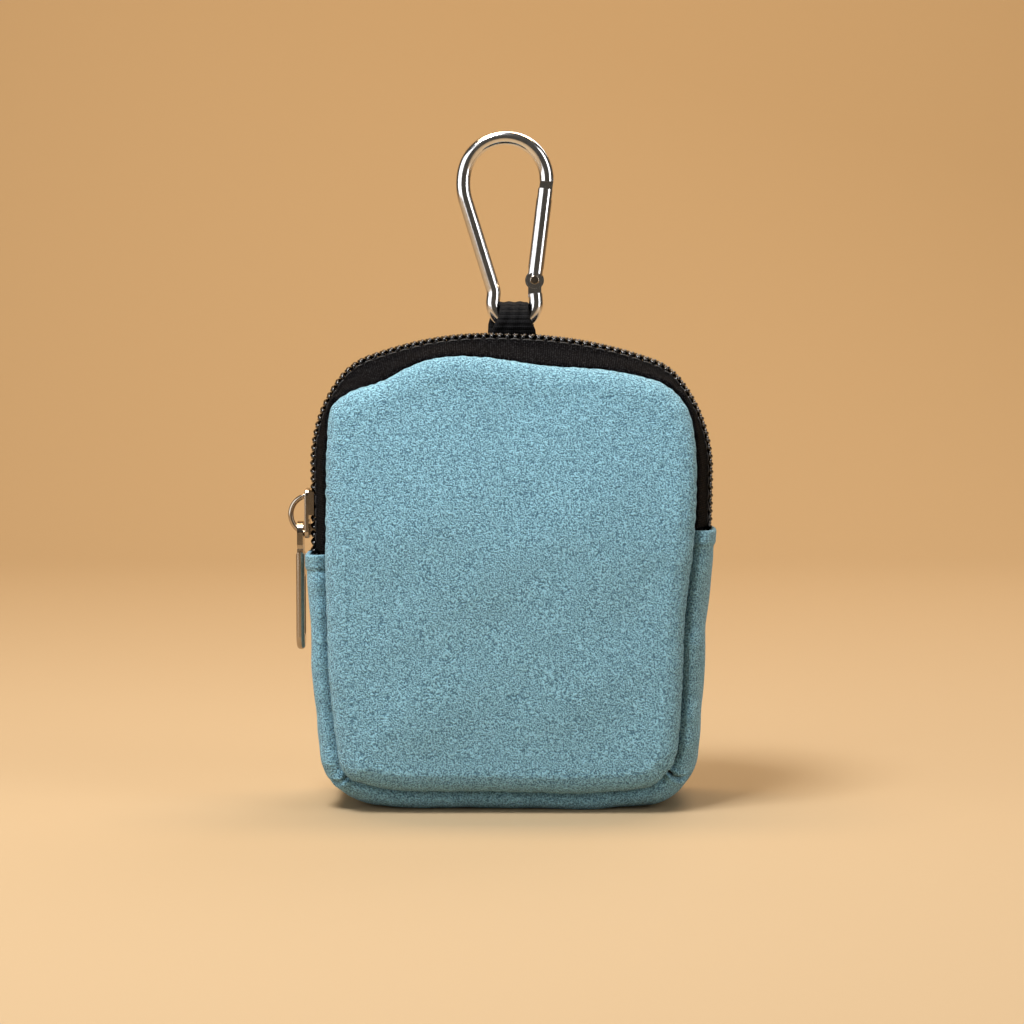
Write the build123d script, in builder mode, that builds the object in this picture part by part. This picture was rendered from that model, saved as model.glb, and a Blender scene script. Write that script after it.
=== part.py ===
"""Small zipped treat pouch with a webbing loop and a snap carabiner.

Millimetres. +Z is up, -Y is the front panel's side, and +X is to the right of the front panel.
The origin is the middle of the flat base. Every ring of the pouch, from the coil's crest to the seams,
is the one crest outline moved inwards by an inset and set at its own depth in Y.
"""

import os
from math import acos, atan2, cos, degrees, hypot, radians, sin, tan

from build123d import *

# crest outline: the pouch seen from the front, along the outer face of the zip coil
BASE_FLAT = 32.0
BASE_RADIUS = 13.0
HALF_WIDTH = 48.7
ZIP_FOOT = 60.0
STRAIGHT_TOP = 80.2
SHOULDER_RADIUS, SHOULDER_TURN = 36.0, 38.0
CORNER_RADIUS, CORNER_TURN = 15.0, 32.0

# depth and layers
SEAM_Y = 17.0
SEAM_INSET = 5.0
SEAM_GAP = 0.3
CRESCENT = ((0.0, 0.0), (2.2, 0.8), (4.2, 3.2), (5.2, 6.6))
BACK_CROWN = 0.6
PANEL_CLOTH, FOAM, LINING = 0.8, 1.6, 0.4
GUSSET_CLOTH = 1.2
GUSSET_PROFILE = ((SEAM_Y, SEAM_INSET), (14.6, 2.1), (9.5, 0.0))
ZIP_END_LEFT, ZIP_END_RIGHT = 60.3, 66.7

# the front above the fold opens forward about the fold line
FOLD_Z = 67.0
FOLD_GAP = 0.2

# zip chain: coil on top of its tape, with a binding over the tape down to the seam
COIL_THICK, COIL_INNER_Y, COIL_OUTER_Y = 2.4, 0.6, 3.1
TAPE_THICK, TAPE_INSET, TAPE_BEND_Y = 0.6, 2.5, 3.3
BINDING_THICK, BINDING_INSET, BINDING_Y = 0.8, 1.4, 3.7
BIAS_INSET, BIAS_THICK, BIAS_DEPTH = 6.9, 0.8, 4.0

# slider, centred on the left-hand straight run of the coil
SLIDER_Z, SLIDER_LENGTH, SLIDER_WIDTH = 69.9, 12.0, 8.4
PLATE_THICK = 1.0
PLATE_CLEAR = 0.3
INNER_PLATE_INSET = 3.9
FLANGE_THICK, FLANGE_LENGTH, FLANGE_DROP = 0.7, 7.0, 1.0
POST_WIDTH, POST_LENGTH = 0.7, 2.8
BAIL_WIRE, BAIL_RADIUS, BAIL_SINK, BAIL_Z = 0.65, 4.7, 1.1, 69.5

# pull tab, hanging from the bail with its flat face towards the pouch's side
PULL_OFF = 1.2
EYE_THICK, EYE_WIDTH, EYE_HOLE, EYE_WALL = 1.4, 5.6, 3.1, 1.0
GRIP_THICK, GRIP_WIDTH, GRIP_TOP, GRIP_BOTTOM = 2.0, 6.6, 60.6, 36.7
GRIP_SLOT_WIDTH, GRIP_SLOT_LENGTH = 2.4, 15.0

# webbing loop and carabiner, both in the plane Y = LOOP_Y
LOOP_Y, LOOP_X = 8.0, 0.6
WEB_THICK, WEB_HALF_WIDTH, WEB_INNER = 1.0, 3.1, 2.5
WEB_ROOT_Z, WEB_TOP_Z, WEB_ROOT_HALF = 111.6, 121.0, 0.6
ROD = 1.75
TOP_CENTRE, TOP_RADIUS, SPINE_LEAN = (-1.67, 150.75), 10.1, 17.3
SIDE_RADIUS, SIDE_ANGLE = 14.0, 165.0
EYE_CENTRE, EYE_RADIUS = (LOOP_X, 120.9), 5.25
EYE_START, WAIST_RADIUS = 172.0, 4.5
PIN = (5.5, 126.3)
NOSE_END_ANGLE = -2.5
GATE_RADIUS, GATE_TOP = 1.95, 22.35
GATE_LEAN = 6.8
TONGUE_THICK, TONGUE_RADIUS = 1.3, 2.3
NOSE_KEY_LENGTH = 3.6
SLOT_CLEAR = 0.25
RIVET_RADIUS, RIVET_HEAD, RIVET_HEAD_THICK = 0.75, 1.1, 0.35
BORE_RADIUS, BORE_LENGTH = 1.15, 12.0
SPRING_RADIUS, SPRING_WIRE, SPRING_PITCH, SPRING_TURNS = 0.85, 0.15, 0.9, 7

FAR = 200.0


def foot_lean():
    """Angle of the side line, from the base corner's arc up to the zip's foot."""
    run, rise = HALF_WIDTH - BASE_FLAT, ZIP_FOOT - BASE_RADIUS
    return degrees(acos(BASE_RADIUS / hypot(run, rise)) - atan2(rise, run))


def outline(inset):
    """The crest outline moved inwards, as a face. An arc keeps its centre while its radius lasts."""
    lean = foot_lean()
    side_x = HALF_WIDTH - inset
    shoulder = (HALF_WIDTH - SHOULDER_RADIUS, STRAIGHT_TOP)
    step = SHOULDER_RADIUS - CORNER_RADIUS
    turn = SHOULDER_TURN
    corner = (shoulder[0] + step * cos(radians(turn)), shoulder[1] + step * sin(radians(turn)))
    turned = SHOULDER_TURN + CORNER_TURN
    crown_radius = CORNER_RADIUS + corner[0] / cos(radians(turned))
    crown = (0, corner[1] - (crown_radius - CORNER_RADIUS) * sin(radians(turned)))
    kink = (side_x, ZIP_FOOT + inset * tan(radians(lean / 2)))
    excess = max(0, inset - BASE_RADIUS + 1)
    sideways = excess * (1 - sin(radians(lean))) / cos(radians(lean))
    base_centre = (BASE_FLAT - sideways, BASE_RADIUS + excess)
    with BuildSketch() as ring:
        with BuildLine():
            Line((0, inset), (base_centre[0], inset))
            base = CenterArc(base_centre, BASE_RADIUS - inset + excess, -90, 90 - lean)
            Line(base @ 1, kink)
            Line(kink, (side_x, STRAIGHT_TOP))
            CenterArc(shoulder, SHOULDER_RADIUS - inset, 0, SHOULDER_TURN)
            CenterArc(corner, CORNER_RADIUS - inset, turn, CORNER_TURN)
            CenterArc(crown, crown_radius - inset, turned, 90 - turned)
            mirror(about=Plane.YZ)
        make_face()
    return ring.sketch


def through(sections):
    """A solid through the outline at each (y, inset)."""
    rings = [(y, outline(inset)) for y, inset in sections]
    with BuildPart() as body:
        for y, ring in rings:
            with BuildSketch(Plane.XZ.offset(-y)):
                add(ring)
        loft(ruled=True)
    return body.part


def band(sections, thickness):
    """A thin ring whose outer face runs through the outline at each (y, inset)."""
    outer = through(sections)
    inner = through([(y, inset + thickness) for y, inset in sections])
    with BuildPart() as ring:
        add(outer)
        add(inner, mode=Mode.SUBTRACT)
    return ring.part


def keep_above(left, right):
    """Cuts the current part off below one level on the left and another on the right."""
    for side, level in ((-1, left), (1, right)):
        with Locations((side * FAR / 2, 0, level - FAR / 2)):
            Box(FAR, FAR, FAR, mode=Mode.SUBTRACT)


def keep_below(left, right):
    """Cuts the current part off above one level on the left and another on the right."""
    for side, level in ((-1, left), (1, right)):
        with Locations((side * FAR / 2, 0, level + FAR / 2)):
            Box(FAR, FAR, FAR, mode=Mode.SUBTRACT)


def save(piece, name):
    """Labels a finished piece and writes its STEP file."""
    piece.label = name
    export_step(piece, f"parts/{name}.step")


def crowned(side, sink, crown):
    """The crowned space behind a panel: sink is how far it lies under the panel's outer face."""
    start = SEAM_Y + SEAM_GAP
    profile = [(start + rise * crown - sink, SEAM_INSET + creep + sink) for rise, creep in CRESCENT]
    sections = [point for point in profile if point[0] > start + 0.05]
    if sink == 0:
        sections.insert(0, profile[0])
    else:
        below = profile[len(profile) - len(sections) - 1]
        share = (start - below[0]) / (sections[0][0] - below[0])
        sections.insert(0, (start, below[1] + share * (sections[0][1] - below[1])))
    return through([(side * depth, inset) for depth, inset in sections])


def panel_layer(side, sink, thickness, crown=1.0):
    """One crowned layer of the front (side -1) or back (side 1) panel."""
    outer = crowned(side, sink, crown)
    inner = crowned(side, sink + thickness, crown)
    with BuildPart() as layer:
        add(outer)
        add(inner, mode=Mode.SUBTRACT)
    return layer.part


def make_panels():
    """Cloth, foam and lining of the back, and of the front below and above the fold."""
    layers = (("panel", 0.0, PANEL_CLOTH), ("foam", PANEL_CLOTH, FOAM), ("lining", PANEL_CLOTH + FOAM, LINING))
    for name, sink, thickness in layers:
        save(panel_layer(1, sink, thickness, BACK_CROWN), f"back_{name}")
        front = panel_layer(-1, sink, thickness)
        with BuildPart() as lower:
            add(front)
            keep_below(FOLD_Z - FOLD_GAP, FOLD_Z - FOLD_GAP)
        save(lower.part, f"front_{name}_lower")
        with BuildPart() as upper:
            add(front)
            keep_above(FOLD_Z + FOLD_GAP, FOLD_Z + FOLD_GAP)
        save(upper.part, f"front_{name}_upper")


def make_lower_gusset():
    """The strip round the base and lower sides, and its lining."""
    front_half = [(-y, inset) for y, inset in GUSSET_PROFILE]
    back_half = list(reversed(GUSSET_PROFILE))
    for name, sink, thickness in (("lower_gusset", 0.0, GUSSET_CLOTH), ("gusset_lining", GUSSET_CLOTH, LINING)):
        ring = band([(y, inset + sink) for y, inset in front_half + back_half], thickness)
        with BuildPart() as gusset:
            add(ring)
            keep_below(ZIP_END_LEFT, ZIP_END_RIGHT)
        save(gusset.part, name)


def zip_rings(side):
    """The binding, tape and coil of one half of the zip, as full rings."""
    binding = band([(side * SEAM_Y, SEAM_INSET), (side * BINDING_Y, BINDING_INSET)], BINDING_THICK)
    under = SEAM_INSET + BINDING_THICK
    tape = band(
        [(side * SEAM_Y, under), (side * TAPE_BEND_Y, TAPE_INSET), (side * COIL_INNER_Y, TAPE_INSET)],
        TAPE_THICK,
    )
    coil = band([(side * COIL_OUTER_Y, 0.0), (side * COIL_INNER_Y, 0.0)], COIL_THICK)
    return (("binding", binding), ("tape", tape), ("coil", coil))


def make_zip():
    """Both halves of the zip. The front half stays with the pouch up to the slider, then goes with the flap."""
    foot_top = SLIDER_Z + SLIDER_LENGTH / 2 + 0.6
    for name, ring in zip_rings(1):
        with BuildPart() as back:
            add(ring)
            keep_above(ZIP_END_LEFT, ZIP_END_RIGHT)
        save(back.part, f"zip_{name}_back")
    for name, ring in zip_rings(-1):
        with BuildPart() as foot:
            add(ring)
            keep_above(ZIP_END_LEFT, FAR / 2)
            keep_below(foot_top, 0)
        save(foot.part, f"zip_{name}_foot")
        with BuildPart() as front:
            add(ring)
            keep_above(foot_top + 2 * FOLD_GAP, FOLD_Z + FOLD_GAP)
        save(front.part, f"zip_{name}_front")


def make_bias_bindings():
    """The tapes that cover the raw seam edges inside the pouch."""
    for side, name in ((1, "back"), (-1, "front")):
        ring = band([(side * SEAM_Y, BIAS_INSET), (side * (SEAM_Y - BIAS_DEPTH), BIAS_INSET)], BIAS_THICK)
        if name == "back":
            save(ring, "seam_binding_back")
            continue
        with BuildPart() as lower:
            add(ring)
            keep_below(FOLD_Z - FOLD_GAP, FOLD_Z - FOLD_GAP)
        save(lower.part, "seam_binding_front_lower")
        with BuildPart() as upper:
            add(ring)
            keep_above(FOLD_Z + FOLD_GAP, FOLD_Z + FOLD_GAP)
        save(upper.part, "seam_binding_front_upper")


def make_slider():
    """Outer plate with side flanges, post and inner plate of the zip slider, in one casting."""
    outer_x = -HALF_WIDTH - PLATE_CLEAR - PLATE_THICK / 2
    inner_x = -HALF_WIDTH + INNER_PLATE_INSET + PLATE_THICK / 2
    flange_depth = PLATE_CLEAR + FLANGE_DROP
    flange_x = -HALF_WIDTH + FLANGE_DROP - flange_depth / 2
    flange_z = SLIDER_Z + (SLIDER_LENGTH - FLANGE_LENGTH) / 2
    flange_y = (SLIDER_WIDTH - FLANGE_THICK) / 2
    post_z = SLIDER_Z - SLIDER_LENGTH / 2 + POST_LENGTH / 2 + 0.6
    with BuildPart() as slider:
        with Locations((outer_x, 0, SLIDER_Z)):
            Box(PLATE_THICK, SLIDER_WIDTH, SLIDER_LENGTH)
        with Locations((inner_x, 0, SLIDER_Z)):
            Box(PLATE_THICK, SLIDER_WIDTH, SLIDER_LENGTH)
        fillet(slider.edges().filter_by(Axis.X), 1.6)
        with Locations((flange_x, flange_y, flange_z), (flange_x, -flange_y, flange_z)):
            Box(flange_depth, FLANGE_THICK, FLANGE_LENGTH - 1.4)
        with Locations(((outer_x + inner_x) / 2, 0, post_z)):
            Box(inner_x - outer_x, POST_WIDTH, POST_LENGTH)
        outer_face = slider.faces().sort_by(Axis.X)[0]
        fillet(outer_face.edges(), 0.35)
    save(slider.part, "slider_body")


def bail_frame():
    """Centre of the bail's arc in X and Z."""
    plate_x = -HALF_WIDTH - PLATE_CLEAR - PLATE_THICK
    return plate_x + BAIL_SINK, BAIL_Z


def make_bail():
    """The round wire loop on the slider's outer plate."""
    centre_x, centre_z = bail_frame()
    reach = degrees(acos((BAIL_SINK + 0.05) / BAIL_RADIUS))
    plate_x = centre_x - BAIL_SINK
    with BuildPart() as bail:
        with BuildLine(Plane.XZ):
            arc = CenterArc((centre_x, centre_z), BAIL_RADIUS, 180 - reach, 2 * reach)
        with BuildSketch(Plane(origin=arc @ 0, z_dir=arc % 0)):
            Circle(BAIL_WIRE)
        sweep()
        with Locations((plate_x + FAR / 2, 0, centre_z)):
            Box(FAR, FAR, FAR, mode=Mode.SUBTRACT)
    save(bail.part, "slider_bail")


def make_pull():
    """The flat pull tab: a thin eye above a thicker slotted grip with a round end."""
    centre_x, centre_z = bail_frame()
    pull_x = centre_x - BAIL_SINK - PULL_OFF
    hang_z = centre_z - (BAIL_RADIUS**2 - (BAIL_SINK + PULL_OFF) ** 2) ** 0.5
    eye_top = hang_z + EYE_HOLE / 2 + EYE_WALL
    eye_length = eye_top - GRIP_TOP + 1.0
    grip_length = GRIP_TOP - GRIP_BOTTOM
    slot_z = GRIP_BOTTOM + GRIP_WIDTH / 2 + GRIP_SLOT_LENGTH / 2
    with BuildPart() as pull:
        with BuildSketch(Plane.YZ.offset(pull_x)) as grip:
            with Locations((0, GRIP_BOTTOM + grip_length / 2)):
                SlotOverall(grip_length, GRIP_WIDTH, rotation=90)
            with Locations((0, GRIP_TOP)):
                Rectangle(GRIP_WIDTH, grip_length / 2, align=(Align.CENTER, Align.MAX))
        extrude(amount=GRIP_THICK / 2, both=True)
        rims = pull.faces().filter_by(Axis.X)
        fillet(rims.edges(), 0.9)
        with BuildSketch(Plane.YZ.offset(pull_x)):
            with Locations((0, eye_top - eye_length / 2)):
                RectangleRounded(EYE_WIDTH, eye_length, EYE_WIDTH / 2 - 0.1)
            with Locations((0, GRIP_TOP + 0.6)):
                Rectangle(EYE_WIDTH, 2.0, align=(Align.CENTER, Align.MAX))
        extrude(amount=EYE_THICK / 2, both=True)
        with BuildSketch(Plane.YZ.offset(pull_x)):
            with Locations((0, hang_z + 0.1)):
                RectangleRounded(EYE_HOLE + 0.2, EYE_HOLE, EYE_HOLE / 2 - 0.05)
            with Locations((0, slot_z)):
                SlotOverall(GRIP_SLOT_LENGTH, GRIP_SLOT_WIDTH, rotation=90)
        extrude(amount=GRIP_THICK, both=True, mode=Mode.SUBTRACT)
    save(pull.part, "pull_tab")


def make_webbing():
    """The folded webbing loop, closed at its root, with room for the carabiner's rod inside."""
    outer_half = WEB_INNER + WEB_THICK
    bend_z = WEB_TOP_Z - outer_half
    throat_z = EYE_CENTRE[1] - EYE_RADIUS - ROD - 0.4
    with BuildPart() as webbing:
        with BuildSketch(Plane.YZ.offset(LOOP_X)):
            with BuildLine():
                shoulder = ThreePointArc(
                    (LOOP_Y + outer_half, bend_z), (LOOP_Y, WEB_TOP_Z), (LOOP_Y - outer_half, bend_z)
                )
                Polyline(
                    shoulder @ 1,
                    (LOOP_Y - outer_half, throat_z + 1.6),
                    (LOOP_Y - WEB_ROOT_HALF, WEB_ROOT_Z),
                    (LOOP_Y + WEB_ROOT_HALF, WEB_ROOT_Z),
                    (LOOP_Y + outer_half, throat_z + 1.6),
                    shoulder @ 0,
                )
            make_face()
            with Locations((LOOP_Y, (bend_z + throat_z + WEB_INNER) / 2)):
                height = bend_z + WEB_INNER - throat_z
                RectangleRounded(2 * WEB_INNER, height, WEB_INNER - 0.05, mode=Mode.SUBTRACT)
        extrude(amount=WEB_HALF_WIDTH, both=True)
    save(webbing.part, "webbing_loop")


def make_root_patch():
    """The webbing's sewn tail, laid flat on the back binding with its stitch block."""
    slope = (SEAM_INSET - BINDING_INSET) / (SEAM_Y - BINDING_Y)
    crest = crest_height()
    tail_y = (LOOP_Y + 2.6, SEAM_Y - 0.6)
    points = []
    for y, lift in ((tail_y[0], 0.05), (tail_y[1], 0.05), (tail_y[1], 0.85), (tail_y[0], 0.85)):
        points.append((y, crest - BINDING_INSET - slope * (y - BINDING_Y) + lift))
    with BuildPart() as tail:
        with BuildSketch(Plane.YZ.offset(LOOP_X)):
            with BuildLine():
                Polyline(*points, close=True)
            make_face()
        extrude(amount=WEB_HALF_WIDTH + 1.4, both=True)
    save(tail.part, "webbing_tail")


def crest_height():
    """Height of the coil's outer face in the middle of the top."""
    turned = radians(SHOULDER_TURN + CORNER_TURN)
    step = SHOULDER_RADIUS - CORNER_RADIUS
    corner_x = HALF_WIDTH - SHOULDER_RADIUS + step * cos(radians(SHOULDER_TURN))
    corner_z = STRAIGHT_TOP + step * sin(radians(SHOULDER_TURN))
    return corner_z + CORNER_RADIUS + corner_x / cos(turned) * (1 - sin(turned))


def on_circle(centre, radius, angle):
    """The point of a circle at an angle in degrees."""
    return centre[0] + radius * cos(radians(angle)), centre[1] + radius * sin(radians(angle))


def make_carabiner():
    """The bent rod, its flattened lower tongue for the gate and the key on its nose."""
    lean = radians(SPINE_LEAN)
    side_centre = on_circle(TOP_CENTRE, TOP_RADIUS - SIDE_RADIUS, SIDE_ANGLE)
    spine_start = on_circle(side_centre, SIDE_RADIUS, 180 + SPINE_LEAN)
    eye_start = on_circle(EYE_CENTRE, EYE_RADIUS, EYE_START)
    along = radians(180 - EYE_START)
    gap = (eye_start[0] - spine_start[0], eye_start[1] - spine_start[1])
    reach = (gap[0] * cos(along) - gap[1] * sin(along)) / sin(lean + along)
    waist = (spine_start[0] + reach * sin(lean), spine_start[1] - reach * cos(lean))
    plane = Plane.XZ.offset(-LOOP_Y)
    shoulder_z = PIN[1] - 3.2
    with BuildPart() as frame:
        with BuildLine(plane) as path:
            top = CenterArc(TOP_CENTRE, TOP_RADIUS, NOSE_END_ANGLE, SIDE_ANGLE - NOSE_END_ANGLE)
            CenterArc(side_centre, SIDE_RADIUS, SIDE_ANGLE, 180 + SPINE_LEAN - SIDE_ANGLE)
            FilletPolyline(spine_start, waist, eye_start, radius=WAIST_RADIUS)
            CenterArc(EYE_CENTRE, EYE_RADIUS, EYE_START, 365 - EYE_START)
            leg_end = on_circle(EYE_CENTRE, EYE_RADIUS, 5)
            rise = shoulder_z - leg_end[1]
            Line(leg_end, (leg_end[0] - rise * tan(radians(5)), shoulder_z))
        with BuildSketch(Plane(origin=top @ 0, z_dir=top % 0)):
            Circle(ROD)
        sweep(path=path.wires()[0])
        with BuildSketch(plane):
            with Locations(PIN):
                Circle(TONGUE_RADIUS)
            with Locations((PIN[0] + 0.05, shoulder_z - 0.9)):
                Rectangle(2 * ROD - 0.3, 3.2, align=(Align.CENTER, Align.MIN))
        extrude(amount=TONGUE_THICK / 2, both=True)
        nose = on_circle(TOP_CENTRE, TOP_RADIUS, NOSE_END_ANGLE)
        with BuildSketch(plane):
            with Locations(Location((nose[0] - 0.15, nose[1] - NOSE_KEY_LENGTH / 2 + 0.4, 0), (0, 0, -GATE_LEAN))):
                Rectangle(2 * ROD - 0.3, NOSE_KEY_LENGTH + 0.8)
        extrude(amount=TONGUE_THICK / 2, both=True)
        with BuildSketch(plane):
            with Locations(PIN):
                Circle(RIVET_RADIUS + 0.03)
        extrude(amount=GATE_RADIUS, both=True, mode=Mode.SUBTRACT)
    save(frame.part, "carabiner_frame")


def gate_plane(along):
    """A plane square to the gate's axis, a distance up from its hinge pin."""
    lean = radians(GATE_LEAN)
    axis = (sin(lean), 0, cos(lean))
    origin = (PIN[0] + along * axis[0], LOOP_Y, PIN[1] + along * axis[2])
    return Plane(origin=origin, x_dir=(cos(lean), 0, -sin(lean)), z_dir=axis)


def make_gate():
    """The round gate, slotted at both ends and bored for its spring."""
    slot = TONGUE_THICK + 2 * SLOT_CLEAR
    across = Plane.XZ.offset(-LOOP_Y)
    with BuildPart() as gate:
        with BuildSketch(gate_plane(0)):
            Circle(GATE_RADIUS)
        extrude(amount=GATE_TOP)
        with BuildSketch(across):
            with Locations(PIN):
                Circle(GATE_RADIUS)
        extrude(amount=GATE_RADIUS - 0.15, both=True)
        with BuildSketch(gate_plane(GATE_TOP)):
            Rectangle(3 * GATE_RADIUS, slot)
        extrude(amount=-(NOSE_KEY_LENGTH - 1.0), mode=Mode.SUBTRACT)
        with BuildSketch(gate_plane(-3 * GATE_RADIUS)):
            Rectangle(4 * GATE_RADIUS, slot)
        extrude(amount=3 * GATE_RADIUS + TONGUE_RADIUS + 0.6, mode=Mode.SUBTRACT)
        with BuildSketch(gate_plane(TONGUE_RADIUS)):
            Circle(BORE_RADIUS)
        extrude(amount=BORE_LENGTH, mode=Mode.SUBTRACT)
        with BuildSketch(across):
            with Locations(PIN):
                Circle(RIVET_RADIUS + 0.03)
        extrude(amount=2 * GATE_RADIUS, both=True, mode=Mode.SUBTRACT)
    save(gate.part, "gate")


def make_rivet():
    """The gate's hinge rivet, with a low head on each cheek."""
    cheek = GATE_RADIUS + 0.05
    with BuildPart() as rivet:
        with BuildSketch(Plane.XZ.offset(-LOOP_Y)):
            with Locations(PIN):
                Circle(RIVET_RADIUS)
        extrude(amount=cheek + 0.02, both=True)
        for side in (-1, 1):
            with BuildSketch(Plane.XZ.offset(-LOOP_Y - side * cheek)):
                with Locations(PIN):
                    Circle(RIVET_HEAD)
            extrude(amount=-side * RIVET_HEAD_THICK)
        ends = rivet.faces().filter_by(Axis.Y).sort_by(Axis.Y)
        fillet([*ends[0].edges(), *ends[-1].edges()], 0.2)
    save(rivet.part, "gate_rivet")


def make_gate_spring():
    """The plunger that bears on the tongue, and the coil spring behind it."""
    plunger_start = TONGUE_RADIUS + 0.15
    plunger_length = 2.6
    seat = gate_plane(plunger_start + plunger_length + 0.25)
    with BuildPart() as plunger:
        with BuildSketch(gate_plane(plunger_start)):
            Circle(BORE_RADIUS - 0.15)
        extrude(amount=plunger_length)
        chamfer(plunger.edges().filter_by(GeomType.CIRCLE), 0.2)
    save(plunger.part, "gate_plunger")
    with BuildPart() as spring:
        with BuildLine():
            coil = Helix(
                SPRING_PITCH, SPRING_PITCH * SPRING_TURNS, SPRING_RADIUS, center=seat.origin, direction=seat.z_dir
            )
        with BuildSketch(Plane(origin=coil @ 0, z_dir=coil % 0)):
            Circle(SPRING_WIRE)
        sweep(is_frenet=True)
    save(spring.part, "gate_spring")


os.makedirs("parts", exist_ok=True)
make_panels()
make_lower_gusset()
make_zip()
make_bias_bindings()
make_slider()
make_bail()
make_pull()
make_webbing()
make_root_patch()
make_carabiner()
make_gate()
make_rivet()
make_gate_spring()
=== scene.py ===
import math

import bmesh
import bpy
import numpy as np
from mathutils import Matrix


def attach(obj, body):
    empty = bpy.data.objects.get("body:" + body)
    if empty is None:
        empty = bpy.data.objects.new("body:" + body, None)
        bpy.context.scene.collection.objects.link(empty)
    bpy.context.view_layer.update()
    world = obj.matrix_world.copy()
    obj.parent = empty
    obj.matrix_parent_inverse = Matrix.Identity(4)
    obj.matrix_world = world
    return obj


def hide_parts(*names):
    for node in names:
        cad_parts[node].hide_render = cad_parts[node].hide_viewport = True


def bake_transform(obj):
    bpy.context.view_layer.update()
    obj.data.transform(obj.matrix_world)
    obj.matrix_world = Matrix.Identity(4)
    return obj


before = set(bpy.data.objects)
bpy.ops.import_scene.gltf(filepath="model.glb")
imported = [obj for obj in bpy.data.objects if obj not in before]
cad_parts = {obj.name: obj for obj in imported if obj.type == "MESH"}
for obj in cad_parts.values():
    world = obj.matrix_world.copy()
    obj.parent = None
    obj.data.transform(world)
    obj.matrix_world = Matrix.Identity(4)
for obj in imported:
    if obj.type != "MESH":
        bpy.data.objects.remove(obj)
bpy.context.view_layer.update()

mm = 0.001

# the pouch's crest outline in millimetres: the CAD part's outline, then the lopsidedness of soft cloth
pouchShape = {
    "baseFlat": 32.0,
    "baseRadius": 13.0,
    "halfWidth": 48.7,
    "zipFoot": 60.0,
    "straightTop": 80.2,
    "shoulderRadius": 36.0,
    "shoulderTurn": 38.0,
    "cornerRadius": 15.0,
    "cornerTurn": 32.0,
    "zipEndLeft": 60.9,
    "zipEndRight": 66.7,
    "leftShoulder": 0.95,  # how far the soft left shoulder stands out of the outline
    "leftShoulderRun": (220, 28),  # its place along the run, and its reach
    "rightWaist": 0.7,  # how far the lower right side sinks in
    "rightWaistRun": (90, 15),
    "slimming": 0.19,  # share of its depth that the front loses towards the top
    "slimFrom": 62,  # height where that begins
    "slimRise": 46,
}

# the front seam runs beside the crest at a plain inset and strays from it in nine places, each given as
# (run from the middle of the base, reach, shift inwards)
seamShape = {
    "inset": 4.6,
    "cadInset": 5.0,  # the even inset of the back seam, which the strips' profiles are drawn for
    "strays": (
        (14, 12, -0.5),  # under the base, right of the middle
        (42, 11, 2.0),  # right lower corner, at the pleat
        (80, 28, 1.2),  # right side
        (138, 8, -1.5),  # right shoulder
        (178, 17, 2.4),  # sag right of the loop
        (222, 9, 2.3),  # sag over the left shoulder
        (237, 6, -1.9),  # left shoulder
        (305, 24, -1.7),  # left side
        (338, 7, 1.6),  # left lower corner
    ),
}


def linear(hexColour):  # sRGB hex to linear RGBA
    parts = [int(hexColour[i:i + 2], 16) / 255 for i in (1, 3, 5)]
    return tuple(c / 12.92 if c <= 0.04045 else ((c + 0.055) / 1.055) ** 2.4 for c in parts) + (1,)


def addNode(tree, kind, inputs=None, **settings):  # an input is a value, or the socket that feeds it
    node = tree.nodes.new(kind)
    for name, value in settings.items():
        setattr(node, name, value)
    for name, value in (inputs or {}).items():
        if isinstance(value, bpy.types.NodeSocket):
            tree.links.new(value, node.inputs[name])
        else:
            node.inputs[name].default_value = value
    return node


def newMaterial(name, build):
    material = bpy.data.materials.new(name)
    material.use_nodes = True
    tree = material.node_tree
    tree.nodes.clear()
    addNode(tree, "ShaderNodeOutputMaterial", {"Surface": build(tree)})
    return material


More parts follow.
